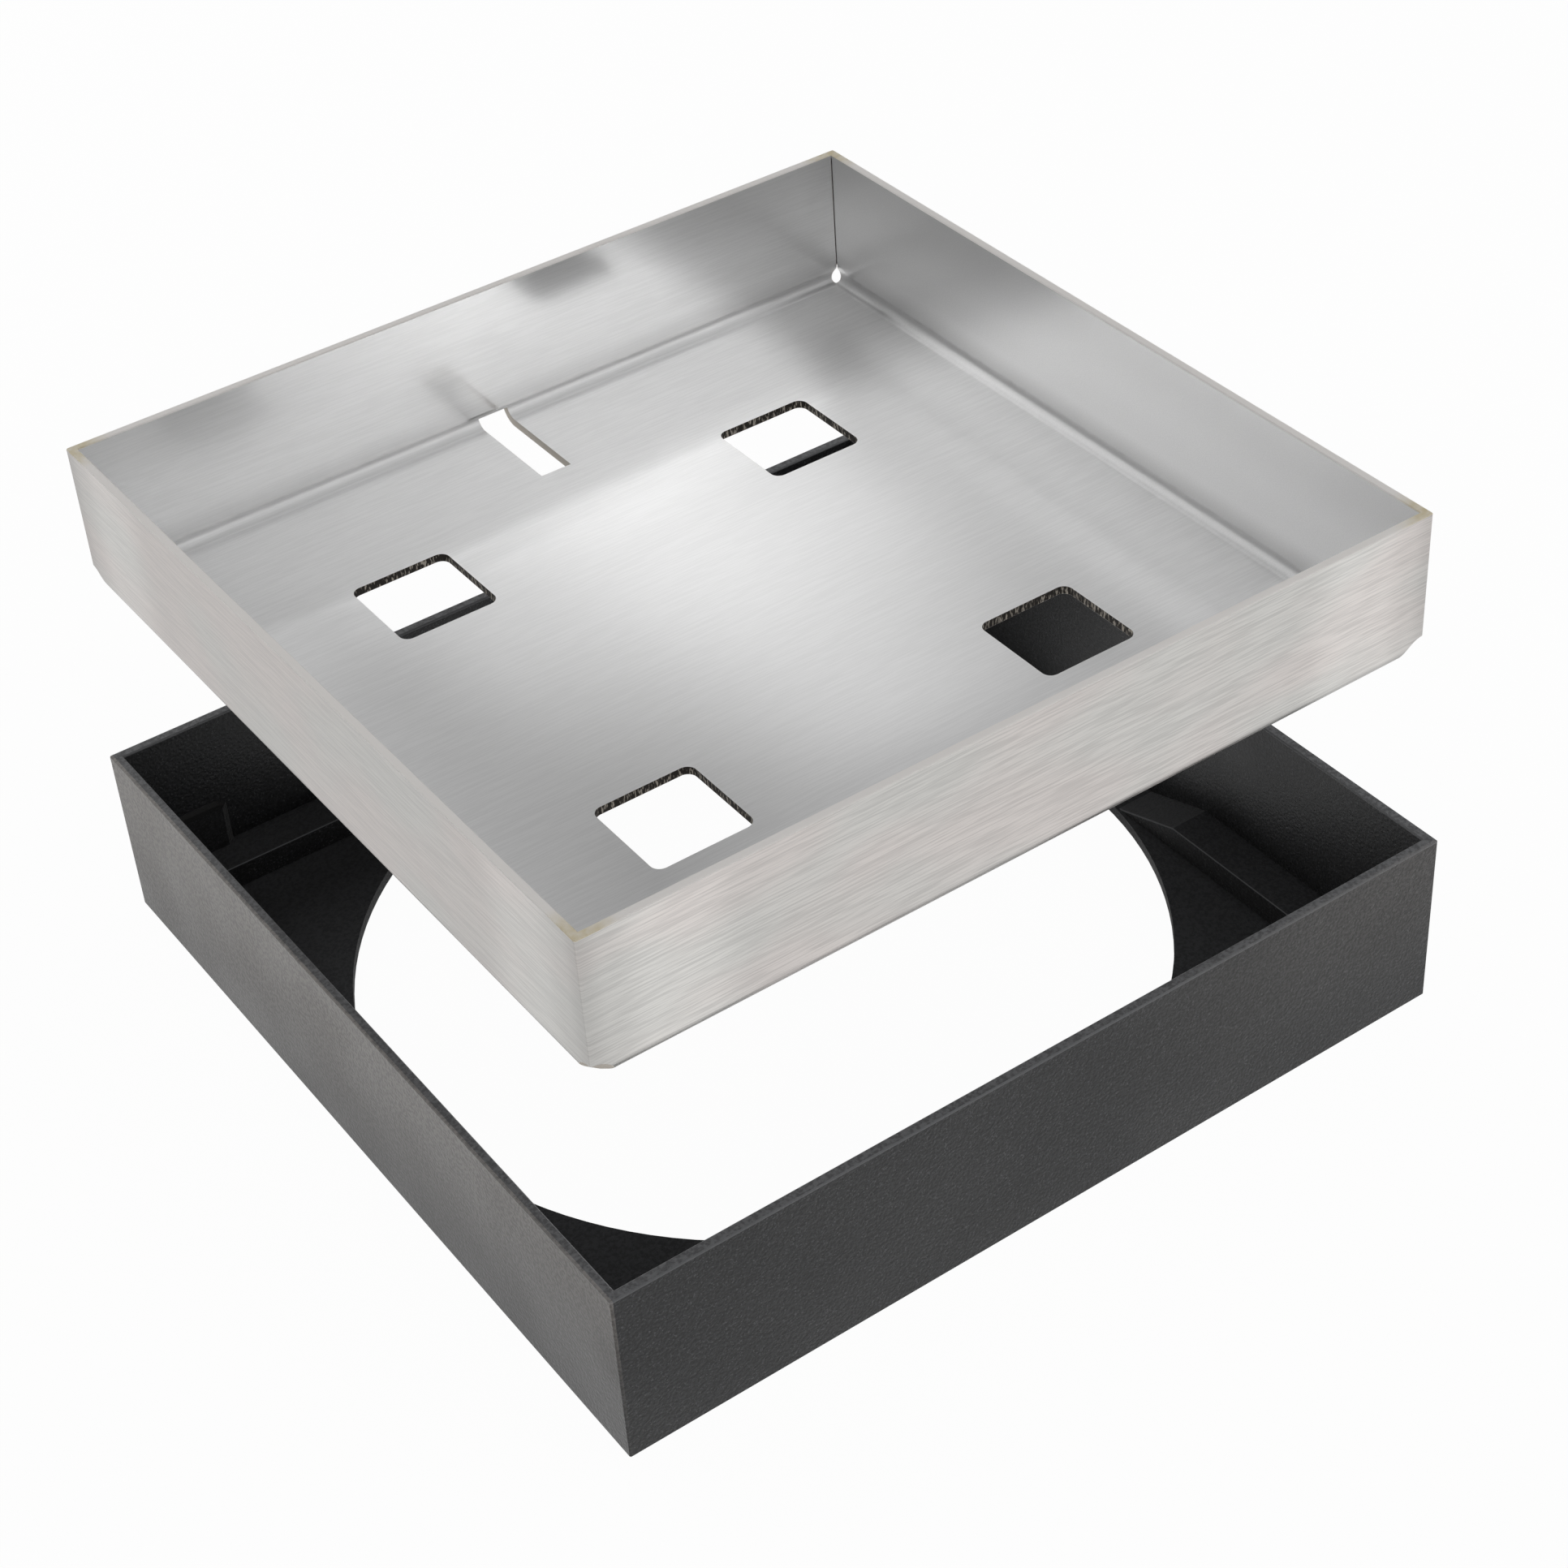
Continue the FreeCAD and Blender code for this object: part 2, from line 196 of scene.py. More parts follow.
@dataclass(frozen=True)
class BrushedStainless:
    """Stainless steel sheet, brushed lengthwise outside and cold rolled satin inside.

    Outside, belt brushing leaves short scratches along each wall, which smear a reflection up and
    down. Inside, the rolled sheet has a faint grain along X, and its polished high spots mirror
    what is close while the valleys between them blur it. Cut edges are dark with laser dross.
    """

    sizes: TraySizes = TraySizes()
    outside_colour: str = "#cec9c6"
    cast_colour: str = "#cac9c6"
    inside_colour: str = "#ebebeb"
    rim_colour: str = "#f8f6f4"
    edge_colour: str = "#3b3835"
    bead_colour: str = "#b5aea4"
    ground_colour: str = "#d8d3cc"
    tint_colour: str = "#ddd0a6"
    # A belt of 180 grit cuts scratches of about 0.1 mm, and the rolls leave finer lines still:
    # both are drawn wider so that they show
    scratch_width: float = 0.5
    scratch_length: float = 15.0
    scratch_tone: Range = (0.85, 1.15)
    scratch_strength: float = 0.17
    scratch_relief: float = 0.03
    rolled_width: float = 0.4
    rolled_length: float = 14.0
    rolled_tone: Range = (0.97, 1.03)
    # Patches of a slightly different cast, the weld's blotches of straw tint with their reach
    # from the rim's corners, and the dross, whose beads run down the cut
    cast_patch: Point = (55.0, 55.0, 30.0)
    tint_patch: float = 3.0
    tint_reach: Range = (17.0, 3.0)
    dross_bead: Point = (0.6, 0.6, 2.4)
    outside_roughness: Range = (0.34, 0.5)
    base_roughness: float = 0.29
    wall_roughness: float = 0.42
    # The press has scuffed the base beside the fold: between these distances from the walls it
    # turns rougher, and its skin wears off
    scuffed_roughness: float = 0.42
    satin_strip: Range = (80.0, 4.0)
    skin_strip: Range = (90.0, 40.0)
    skin_roughness: float = 0.17
    skin_index: float = 3.0
    fold_roughness: float = 0.45
    ground_roughness: float = 0.85
    cut_roughness: float = 0.65
    anisotropy: float = 0.3
    # Painted shade on the walls' inside: how much light they keep beside the fold, beside the
    # sheared rim and in the bend, and the heights over the floor at which the first two bands
    # end and start
    painted_fold_shade: float = 0.72
    painted_rim_shade: float = 0.76
    painted_bend_shade: float = 0.84
    fold_shade_band: Range = (3.5, 14.0)
    rim_shade_start: float = 24.0
    # A painted highlight lightens the outer walls between these distances from their ends, and
    # painted shade darkens the corners, the lower bend and the -X wall
    painted_highlight_start: Range = (4.0, 26.0)
    painted_highlight_end: Range = (62.0, 30.0)
    painted_highlight_tone: float = 1.16
    corner_shade_width: float = 9.0
    corner_shade_tone: float = 0.86
    lower_bend_shade: float = 0.67
    left_wall_shade: float = 0.87

    def build(self) -> bpy.types.Material:
        """Make the material.

        Returns:
            The material.
        """
        surface = SurfaceTree("brushed_stainless_steel_sheet")
        zones = self.zones(surface)
        scratches = self.scratches(surface)
        shader = add_node(
            surface.tree,
            "BsdfPrincipled",
            inputs={
                "Base Color": self.colour(surface, zones, scratches),
                "Roughness": self.roughness(surface, zones, scratches),
                "Metallic": 1.0,
                "Coat Weight": self.skin(surface, zones),
                "Coat Roughness": self.skin_roughness,
                "Coat IOR": self.skin_index,
                "Anisotropic": self.anisotropy,
                "Tangent": self.smear(surface),
                "Normal": self.relief(surface, zones, scratches),
            },
        )
        return surface.finish(shader)

    def zones(self, surface: SurfaceTree) -> dict[Zone, bpy.types.Node]:
        """Tell the differently finished zones apart by their place.

        Args:
            surface: the material's tree.

        Returns:
            For each zone a node that gives one on it and nothing elsewhere.
        """
        s, tree, height = self.sizes, surface.tree, surface.axes[2]
        within_walls = add_node(tree, "Math", BELOW, (surface.spread, s.recess_half + s.margin))
        above_base = add_node(tree, "Math", ABOVE, (height, s.floor - s.floor_margin))
        inside = add_node(tree, "Math", TIMES, (within_walls, above_base))

        not_upright = add_node(tree, "MapRange", SMOOTH, (surface.level, 0.02, 0.25))
        not_level = add_node(tree, "MapRange", SMOOTH, (surface.level, 0.995, 0.93))
        bent = add_node(tree, "Math", TIMES, (not_upright, not_level))
        low = add_node(tree, "Math", BELOW, (height, s.floor + s.fold_height))
        fold = add_node(tree, "Math", TIMES, (inside, bent))

        corner = (s.half_side, s.half_side, s.underside)
        to_relief = add_node(tree, "VectorMath", DISTANCE, (surface.quarter, corner))
        reliefs = add_node(tree, "Math", BELOW, (to_relief, s.relief_radius + s.margin))
        holes = surface.in_box(
            surface.quarter,
            (s.hole_centre, s.hole_centre, s.underside + s.sheet / 2),
            (s.hole_half + s.margin, s.hole_half + s.margin, s.sheet / 2 - s.cut_margin),
        )
        slot = surface.in_box(
            surface.place,
            (0.0, (s.slot_end + s.half_side) / 2, (s.slot_top + s.underside) / 2),
            (
                s.slot_half + s.margin,
                (s.half_side - s.slot_end) / 2 + s.margin,
                (s.slot_top - s.underside) / 2 + s.margin,
            ),
        )
        return {
            Zone.INSIDE: inside,
            Zone.LEVEL: add_node(tree, "MapRange", SMOOTH, (surface.level, 0.5, 0.9)),
            Zone.FOLD: add_node(tree, "Math", TIMES, (fold, low)),
            Zone.RIM: add_node(tree, "Math", ABOVE, (height, s.rim - s.rim_break - s.margin)),
            Zone.CUT_EDGE: holes,
            Zone.GROUND_EDGE: add_node(tree, "Math", MOST, (slot, reliefs)),
        }

    def scratches(self, surface: SurfaceTree) -> bpy.types.Node:
        """Make the belt's scratches, which run along each wall and along X underneath.

        Args:
            surface: the material's tree.

        Returns:
            The scratches, from 0 to 1.
        """
        tree = surface.tree
        long, thin = self.scratch_length, self.scratch_width
        patterns = []
        for size in ((long, long, thin), (long, thin, long)):
            stretched = add_node(tree, "VectorMath", PARTED, (surface.place, size))
            patterns.append(
                add_node(
                    tree, "TexNoise", inputs={"Vector": stretched, "Scale": 1.0, "Detail": 3.0}
                )
            )
        flat = add_node(tree, "MapRange", SMOOTH, (surface.level, 0.6, 0.8))
        return add_node(tree, "Mix", NUMBERS, (flat, *patterns))

    def roughness(
        self,
        surface: SurfaceTree,
        zones: dict[Zone, bpy.types.Node],
        scratches: bpy.types.Node,
    ) -> bpy.types.Node:
        """Give each zone its roughness.

        Args:
            surface: the material's tree.
            zones: where each zone is.
            scratches: the belt's scratches.

        Returns:
            The roughness.
        """
        tree = surface.tree
        outside = add_node(
            tree, "MapRange", SMOOTH, (scratches, 0.3, 0.7, *self.outside_roughness)
        )
        strip = self.from_middle(self.satin_strip)
        base = add_node(
            tree,
            "MapRange",
            SMOOTH,
            (surface.spread, *strip, self.base_roughness, self.scuffed_roughness),
        )
        satin = add_node(tree, "Mix", NUMBERS, (zones[Zone.LEVEL], self.wall_roughness, base))
        rough = add_node(tree, "Mix", NUMBERS, (zones[Zone.INSIDE], outside, satin))
        for zone, value in (
            (Zone.FOLD, self.fold_roughness),
            (Zone.RIM, self.ground_roughness),
            (Zone.GROUND_EDGE, self.ground_roughness),
            (Zone.CUT_EDGE, self.cut_roughness),
        ):
            rough = add_node(tree, "Mix", NUMBERS, (zones[zone], rough, value))
        return rough

    def from_middle(self, strip: Range) -> Range:
        """Turn a strip's two distances from the walls to distances from the tray's middle."""
        return self.sizes.recess_half - strip[0], self.sizes.recess_half - strip[1]

    def skin(
        self, surface: SurfaceTree, zones: dict[Zone, bpy.types.Node]
    ) -> bpy.types.Node:
        """Lay the rolled sheet's polished skin inside, worn off the base beside the fold.

        Args:
            surface: the material's tree.
            zones: where each zone is.

        Returns:
            The skin's weight.
        """
        tree = surface.tree
        strip = self.from_middle(self.skin_strip)
        near_walls = add_node(tree, "MapRange", SMOOTH, (surface.spread, *strip))
        worn = add_node(tree, "Math", TIMES, (zones[Zone.LEVEL], near_walls))
        for zone in (Zone.FOLD, Zone.RIM, Zone.CUT_EDGE, Zone.GROUND_EDGE):
            worn = add_node(tree, "Math", MOST, (worn, zones[zone]))
        return add_node(tree, "Mix", NUMBERS, (worn, zones[Zone.INSIDE], 0.0))

    def colour(
        self,
        surface: SurfaceTree,
        zones: dict[Zone, bpy.types.Node],
        scratches: bpy.types.Node,
    ) -> bpy.types.Node:
        """Colour each zone.

        Args:
            surface: the material's tree.
            zones: where each zone is.
            scratches: the belt's scratches.

        Returns:
            The colour.
        """
        tree = surface.tree
        colour = add_node(
            tree,
            "Mix",
            COLOURS,
            (zones[Zone.INSIDE], self.brushed(surface, scratches), self.rolled(surface, zones)),
        )
        for zone, shade in (
            (Zone.RIM, self.tinted_rim(surface)),
            (Zone.GROUND_EDGE, linear(self.ground_colour)),
            (Zone.CUT_EDGE, self.cut_edge(surface)),
        ):
            colour = add_node(tree, "Mix", COLOURS, (zones[zone], colour, shade))
        return colour

    def brushed(self, surface: SurfaceTree, scratches: bpy.types.Node) -> bpy.types.Node:
        """Colour the brushed outside: patches of a slightly different cast, painted highlight and
        shade.

        Args:
            surface: the material's tree.
            scratches: the belt's scratches.

        Returns:
            The colour.
        """
        tree = surface.tree
        stretched = add_node(tree, "VectorMath", PARTED, (surface.place, self.cast_patch))
        patches = add_node(
            tree, "TexNoise", inputs={"Vector": stretched, "Scale": 1.0, "Detail": 1.0}
        )
        share = add_node(tree, "MapRange", SMOOTH, (patches, 0.35, 0.65))
        cast = add_node(
            tree, "Mix", COLOURS, (share, linear(self.outside_colour), linear(self.cast_colour))
        )
        tone = add_node(tree, "MapRange", SMOOTH, (scratches, 0.32, 0.68, *self.scratch_tone))
        tone = add_node(tree, "Math", TIMES, (tone, self.painted_outside_light(surface)))
        return add_node(tree, "VectorMath", SCALED, (cast, tone))

    def painted_outside_light(self, surface: SurfaceTree) -> bpy.types.Node:
        """Paint a highlight near a wall's ends, and shade on its corners, lower bend and the -X
        wall.

        Args:
            surface: the material's tree.

        Returns:
            The painted light and shade that scale the outside's colour.
        """
        tree = surface.tree
        along = add_node(tree, "Math", LEAST, surface.sides[:2])
        left = add_node(tree, "Math", MINUS, (self.sizes.half_side, along))
        painted_highlight_start = add_node(tree, "MapRange", SMOOTH, (left, *self.painted_highlight_start))
        painted_highlight_end = add_node(tree, "MapRange", SMOOTH, (left, *self.painted_highlight_end))
        turn = add_node(tree, "Math", TIMES, (painted_highlight_start, painted_highlight_end))
        # Painted highlight near the wall's ends
        painted_light = add_node(tree, "MapRange", SMOOTH, (turn, 0.0, 1.0, 1.0, self.painted_highlight_tone))
        east, _, up = surface.facing
        for values in (
            # Painted shade in the corners
            (left, 0.0, self.corner_shade_width, self.corner_shade_tone, 1.0),
            # Painted shade on the lower bend, where the faces turn down
            (up, -0.08, -0.5, 1.0, self.lower_bend_shade),
            # Painted shade on the whole -X wall
            (east, -0.7, -0.9, 1.0, self.left_wall_shade),
        ):
            factor = add_node(tree, "MapRange", SMOOTH, values)
            painted_light = add_node(tree, "Math", TIMES, (painted_light, factor))
        return painted_light

    def rolled(
        self, surface: SurfaceTree, zones: dict[Zone, bpy.types.Node]
    ) -> bpy.types.Node:
        """Colour the rolled inside, with painted shade beside the fold and the rim and in the
        bend.

        Args:
            surface: the material's tree.
            zones: where each zone is.

        Returns:
            The colour.
        """
        s, tree, height = self.sizes, surface.tree, surface.axes[2]
        lines = (self.rolled_length, self.rolled_width, self.rolled_width)
        stretched = add_node(tree, "VectorMath", PARTED, (surface.place, lines))
        grain = add_node(
            tree, "TexNoise", inputs={"Vector": stretched, "Scale": 1.0, "Detail": 1.0}
        )
        tone = add_node(tree, "MapRange", SMOOTH, (grain, 0.35, 0.65, *self.rolled_tone))
        colour = add_node(tree, "VectorMath", SCALED, (linear(self.inside_colour)[:3], tone))

        # Painted shade: the walls darken towards the fold and towards the rim, and the bend too
        band = (s.floor + self.fold_shade_band[0], s.floor + self.fold_shade_band[1])
        fold = add_node(tree, "MapRange", SMOOTH, (height, *band, self.painted_fold_shade, 1.0))
        rim_shade = add_node(
            tree,
            "MapRange",
            SMOOTH,
            (height, s.floor + self.rim_shade_start, s.rim, 1.0, self.painted_rim_shade),
        )
        walls = add_node(tree, "Math", TIMES, (fold, rim_shade))
        painted_light = add_node(tree, "Mix", NUMBERS, (zones[Zone.LEVEL], walls, 1.0))
        painted_light = add_node(tree, "Mix", NUMBERS, (zones[Zone.FOLD], painted_light, self.painted_bend_shade))
        return add_node(tree, "VectorMath", SCALED, (colour, painted_light))

    def tinted_rim(self, surface: SurfaceTree) -> bpy.types.Node:
        """Colour the rim, with the weld's straw tint at its corners.

        Args:
            surface: the material's tree.

        Returns:
            The colour.
        """
        s, tree = self.sizes, surface.tree
        corner = (s.half_side, s.half_side, s.rim)
        to_corner = add_node(tree, "VectorMath", DISTANCE, (surface.quarter, corner))
        near = add_node(tree, "MapRange", SMOOTH, (to_corner, *self.tint_reach))
        blotches = add_node(
            tree,
            "TexNoise",
            inputs={"Vector": surface.place, "Scale": 1 / self.tint_patch, "Detail": 2.0},
        )
        heat = add_node(tree, "Math", TIMES, (near, blotches))
        return add_node(
            tree, "Mix", COLOURS, (heat, linear(self.rim_colour), linear(self.tint_colour))
        )

    def cut_edge(self, surface: SurfaceTree) -> bpy.types.Node:
        """Colour the laser-cut edges: dark, with beads of dross.

        Args:
            surface: the material's tree.

        Returns:
            The colour.
        """
        tree = surface.tree
        stretched = add_node(tree, "VectorMath", PARTED, (surface.place, self.dross_bead))
        dross = add_node(
            tree, "TexNoise", inputs={"Vector": stretched, "Scale": 1.0, "Detail": 3.0}
        )
        speckle = add_node(tree, "MapRange", SMOOTH, (dross, 0.5, 0.66))
        return add_node(
            tree, "Mix", COLOURS, (speckle, linear(self.edge_colour), linear(self.bead_colour))
        )

    def smear(self, surface: SurfaceTree) -> bpy.types.Node:
        """Point the way a reflection smears: up the walls, and along Y on the base."""
        flat = add_node(surface.tree, "Math", ABOVE, (surface.level, 0.71))
        return add_node(
            surface.tree, "Mix", DIRECTIONS, (flat, (0.0, 0.0, 1.0), (0.0, 1.0, 0.0))
        )

    def relief(
        self,
        surface: SurfaceTree,
        zones: dict[Zone, bpy.types.Node],
        scratches: bpy.types.Node,
    ) -> bpy.types.Node:
        """Give the scratches a shallow depth, none inside.

        Args:
            surface: the material's tree.
            zones: where each zone is.
            scratches: the belt's scratches.

        Returns:
            The normal.
        """
        outside = add_node(surface.tree, "Math", MINUS, (1.0, zones[Zone.INSIDE]))
        depth = add_node(surface.tree, "Math", TIMES, (scratches, outside))
        return add_node(
            surface.tree,
            "Bump",
            inputs={
                "Strength": self.scratch_strength,
                "Distance": self.scratch_relief * MM,
                "Height": depth,
            },
        )


@dataclass(frozen=True)
class FrameSizes:
    """The frame's sizes that its finish follows."""

    inner_half: float = 158.0
    outer_half: float = 163.5
    ledge_top: float = 14.0
    rim: float = 69.0
    # The painted highlight line along the rim, with its soft edge, the rim's top, and how far the
    # corner pads' bevels stay from the ledge and the rim
    rim_highlight: float = 0.9
    rim_highlight_edge: float = 0.3
    rim_top: float = 1.0
    bevel_margin: float = 2.0


@dataclass(frozen=True)
class MouldedPlastic:
    """Glass-filled polymer, moulded in a fine-eroded steel mould: charcoal, matt and pebbled.

    The erosion leaves a pebble that breaks the light into grains, and a few filler flecks near
    the surface show as lighter points. Upward faces carry painted light, the rim's top the most,
    the edges a painted highlight, the corner pads' bevels painted shade, and the -X wall with a
    little of the -Y wall a painted sheen.
    """

    sizes: FrameSizes = FrameSizes()
    hollow_colour: str = "#0b0c0d"
    colour: str = "#1f2022"
    fleck_colour: str = "#4c4d4f"
    # Painted light on upward faces
    painted_top_light_colour: str = "#3c3d3f"
    # Painted light on the rim's top, stronger than on other upward faces
    rim_colour: str = "#737476"
    # Painted shade on the corner pads' bevels
    painted_bevel_shade_colour: str = "#050505"
    # Painted highlight on the chamfered edges and the line under the rim
    edge_colour: str = "#6a6b6d"
    # Painted sheen on the -X wall and a little of the -Y wall
    painted_sheen_colour: str = "#b5aea8"
    # The pebble is about 0.4 mm and the flecks are finer: both are drawn coarser so that they show
    pebble: float = 1.2
    pebble_relief: float = 0.2
    fleck: float = 0.7
    index: float = 1.37
    sheen: float = 0.28
    sheen_roughness: float = 0.4
    outside_roughness: float = 0.42
    inside_roughness: float = 0.75
    cloud: float = 45.0
    cloud_swing: Range = (-0.04, 0.04)
    # The share of painted sheen on the -X wall rises with the height, and with Y by this lean,
    # between these heights. On the -Y wall it rises with the height and along X.
    painted_sheen_lean: float = 0.13
    painted_sheen_heights: Range = (-15.0, 88.0)
    painted_sheen_share: Range = (0.04, 0.62)
    front_painted_sheen_heights: Range = (5.0, 69.0)
    front_painted_sheen_along: Range = (0.0, 165.0)
    front_painted_sheen_share: float = 0.13

    def build(self) -> bpy.types.Material:
        """Make the material.

        Returns:
            The material.
        """
        surface = SurfaceTree("moulded_glass_filled_polymer")
        pebble = add_node(
            surface.tree,
            "TexNoise",
            inputs={"Vector": surface.place, "Scale": 1 / self.pebble, "Detail": 2.0},
        )
        bump = add_node(
            surface.tree,
            "Bump",
            inputs={"Strength": 1.0, "Distance": self.pebble_relief * MM, "Height": pebble},
        )
        shader = add_node(
            surface.tree,
            "BsdfPrincipled",
            inputs={
                "Base Color": self.shade(surface, pebble),
                "Roughness": self.roughness(surface),
                "IOR": self.index,
                "Sheen Weight": self.sheen,
                "Sheen Roughness": self.sheen_roughness,
                "Normal": bump,
            },
        )
        return surface.finish(shader)

    def roughness(self, surface: SurfaceTree) -> bpy.types.Node:
        """Make the inside duller than the outer walls, and both slightly cloudy.

        Args:
            surface: the material's tree.

        Returns:
            The roughness.
        """
        tree = surface.tree
        inside = add_node(tree, "Math", BELOW, (surface.spread, self.sizes.inner_half))
        plain = add_node(
            tree, "Mix", NUMBERS, (inside, self.outside_roughness, self.inside_roughness)
        )
        clouds = add_node(
            tree,
            "TexNoise",
            inputs={"Vector": surface.place, "Scale": 1 / self.cloud, "Detail": 1.0},
        )
        swing = add_node(tree, "MapRange", SMOOTH, (clouds, 0.3, 0.7, *self.cloud_swing))
        return add_node(tree, "Math", PLUS, (plain, swing))

    def shade(self, surface: SurfaceTree, pebble: bpy.types.Node) -> bpy.types.Node:
        """Colour the pebble and the flecks, with painted light, highlight, shade and sheen.

        Args:
            surface: the material's tree.
            pebble: the pebble.

        Returns:
            The colour.
        """
        s, tree, height = self.sizes, surface.tree, surface.axes[2]
        hills = add_node(tree, "MapRange", SMOOTH, (pebble, 0.38, 0.62))
        ground = add_node(
            tree, "Mix", COLOURS, (hills, linear(self.hollow_colour), linear(self.colour))
        )
        grain = add_node(
            tree,
            "TexNoise",
            inputs={"Vector": surface.place, "Scale": 1 / self.fleck, "Detail": 1.0},
        )
        flecks = add_node(tree, "MapRange", SMOOTH, (grain, 0.6, 0.75))

        peaks = add_node(tree, "MapRange", SMOOTH, (pebble, 0.36, 0.64, 0.55, 1.0))
        on_rim = add_node(tree, "Math", ABOVE, (height, s.rim - s.rim_top))
        painted_top_light_mix = add_node(
            tree, "Mix", COLOURS, (on_rim, linear(self.painted_top_light_colour), linear(self.rim_colour))
        )
        painted_top_light = add_node(tree, "MapRange", SMOOTH, (surface.facing[2], 0.6, 0.95))
        painted_top_light = add_node(tree, "Math", TIMES, (painted_top_light, peaks))

        bevels, edges = self.edges(surface)
        # Painted sheen, broken by the pebble
        painted_sheen = add_node(tree, "Math", TIMES, (self.painted_sheen(surface), peaks))
        colour = ground
        for share, layer in (
            (flecks, linear(self.fleck_colour)),
            (painted_top_light, painted_top_light_mix),
            (bevels, linear(self.painted_bevel_shade_colour)),
            (edges, linear(self.edge_colour)),
            (painted_sheen, linear(self.painted_sheen_colour)),
        ):
            colour = add_node(tree, "Mix", COLOURS, (share, colour, layer))
        return colour

    def edges(self, surface: SurfaceTree) -> tuple[bpy.types.Node, bpy.types.Node]:
        """Find the pads' bevels for painted shade, the ledge's and rim's edges for painted
        highlight.

        Args:
            surface: the material's tree.

        Returns:
            One on the bevels and nothing elsewhere, and the same for the highlighted edges.
        """
        s, tree, height = self.sizes, surface.tree, surface.axes[2]
        not_upright = add_node(tree, "MapRange", SMOOTH, (surface.level, 0.15, 0.3))
        not_level = add_node(tree, "MapRange", SMOOTH, (surface.level, 0.97, 0.9))
        sloping = add_node(tree, "Math", TIMES, (not_upright, not_level))
        over_ledge = add_node(tree, "Math", ABOVE, (height, s.ledge_top + s.bevel_margin))
        under_rim = add_node(tree, "Math", BELOW, (height, s.rim - s.bevel_margin))
        between = add_node(tree, "Math", TIMES, (over_ledge, under_rim))
        # Painted shade on the corner pads' bevels, between the ledge and the rim
        bevels = add_node(tree, "Math", TIMES, (sloping, between))

        # Painted highlight on the chamfers and on a line just under the rim
        chamfers = add_node(tree, "Math", MINUS, (sloping, bevels))
        line = s.rim - s.rim_highlight
        high = add_node(tree, "MapRange", SMOOTH, (height, line, line + s.rim_highlight_edge))
        off_top = add_node(tree, "MapRange", SMOOTH, (surface.level, 0.9, 0.7))
        rim_highlight = add_node(tree, "Math", TIMES, (high, off_top))
        return bevels, add_node(tree, "Math", MOST, (chamfers, rim_highlight))

    def painted_sheen(self, surface: SurfaceTree) -> bpy.types.Node:
        """Paint a sheen on two outer walls: most on the -X wall, a little on the -Y wall.

        Args:
            surface: the material's tree.

        Returns:
            The painted sheen's share.
        """
        tree = surface.tree
        x, y, z = surface.axes
        just_inside = 1.0 - self.sizes.outer_half
        left_wall = add_node(tree, "Math", BELOW, (x, just_inside))
        lean = add_node(tree, "Math", TIMES, (y, self.painted_sheen_lean))
        high = add_node(tree, "Math", PLUS, (z, lean))
        rising = add_node(
            tree, "MapRange", SMOOTH, (high, *self.painted_sheen_heights, *self.painted_sheen_share)
        )
        left = add_node(tree, "Math", TIMES, (left_wall, rising))

        front_wall = add_node(tree, "Math", BELOW, (y, just_inside))
        along = add_node(tree, "MapRange", SMOOTH, (x, *self.front_painted_sheen_along))
        rising = add_node(
            tree,
            "MapRange",
            SMOOTH,
            (z, *self.front_painted_sheen_heights, 0.0, self.front_painted_sheen_share),
        )
        front = add_node(tree, "Math", TIMES, (along, rising))
        front = add_node(tree, "Math", TIMES, (front_wall, front))
        return add_node(tree, "Math", PLUS, (left, front))


@dataclass(frozen=True)
class StudioPaper:
    """Matt white background paper: plain white with the object's soft shadow, in mirrors too."""

    colour: str = "#f4f4f4"
    shadow_share: float = 0.03

    def build(self) -> bpy.types.Material:
        """Make the material.

        Returns:
            The material.
        """
        material = bpy.data.materials.new("matt_white_paper")
        material.use_nodes = True
        tree = material.node_tree
        tree.nodes.clear()
        paper = add_node(tree, "BsdfDiffuse", inputs={"Color": linear(self.colour)})
        white = add_node(tree, "Emission", inputs={"Strength": 1.0})
        seen = add_node(tree, "MixShader", inputs=(self.shadow_share, white, paper))
        path = add_node(tree, "LightPath").outputs
        sharp = path["Is Camera Ray"]
        for ray in ("Is Glossy Ray", "Is Transmission Ray"):
            sharp = add_node(tree, "Math", MOST, (sharp, path[ray]))
        shown = add_node(tree, "MixShader", inputs=(sharp, paper, seen))
        add_node(tree, "OutputMaterial", inputs={"Surface": shown})
        return material


@dataclass
class RecessTray:
    """The folded stainless tray that holds the paving."""

    node_name: str = "recess_tray"
    finish: BrushedStainless = BrushedStainless()

    def build(self) -> None:
        """Dress the tray's solid."""
        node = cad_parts[self.node_name]
        dress(node, self.finish.build())
        log.info("%s: brushed stainless tray, %d faces", node.name, len(node.data.polygons))


@dataclass
class CoverFrame:
    """The moulded frame that is set in the ground."""

    node_name: str = "cover_frame"
    finish: MouldedPlastic = MouldedPlastic()

    def build(self) -> None:
        """Dress the frame's solid."""
        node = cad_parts[self.node_name]
        dress(node, self.finish.build())
        log.info("%s: moulded frame, %d faces", node.name, len(node.data.polygons))


def dress(piece: bpy.types.Object, material: bpy.types.Material) -> None:
    """Give every material slot of a piece one material."""
    for slot in piece.material_slots:
        slot.material = material


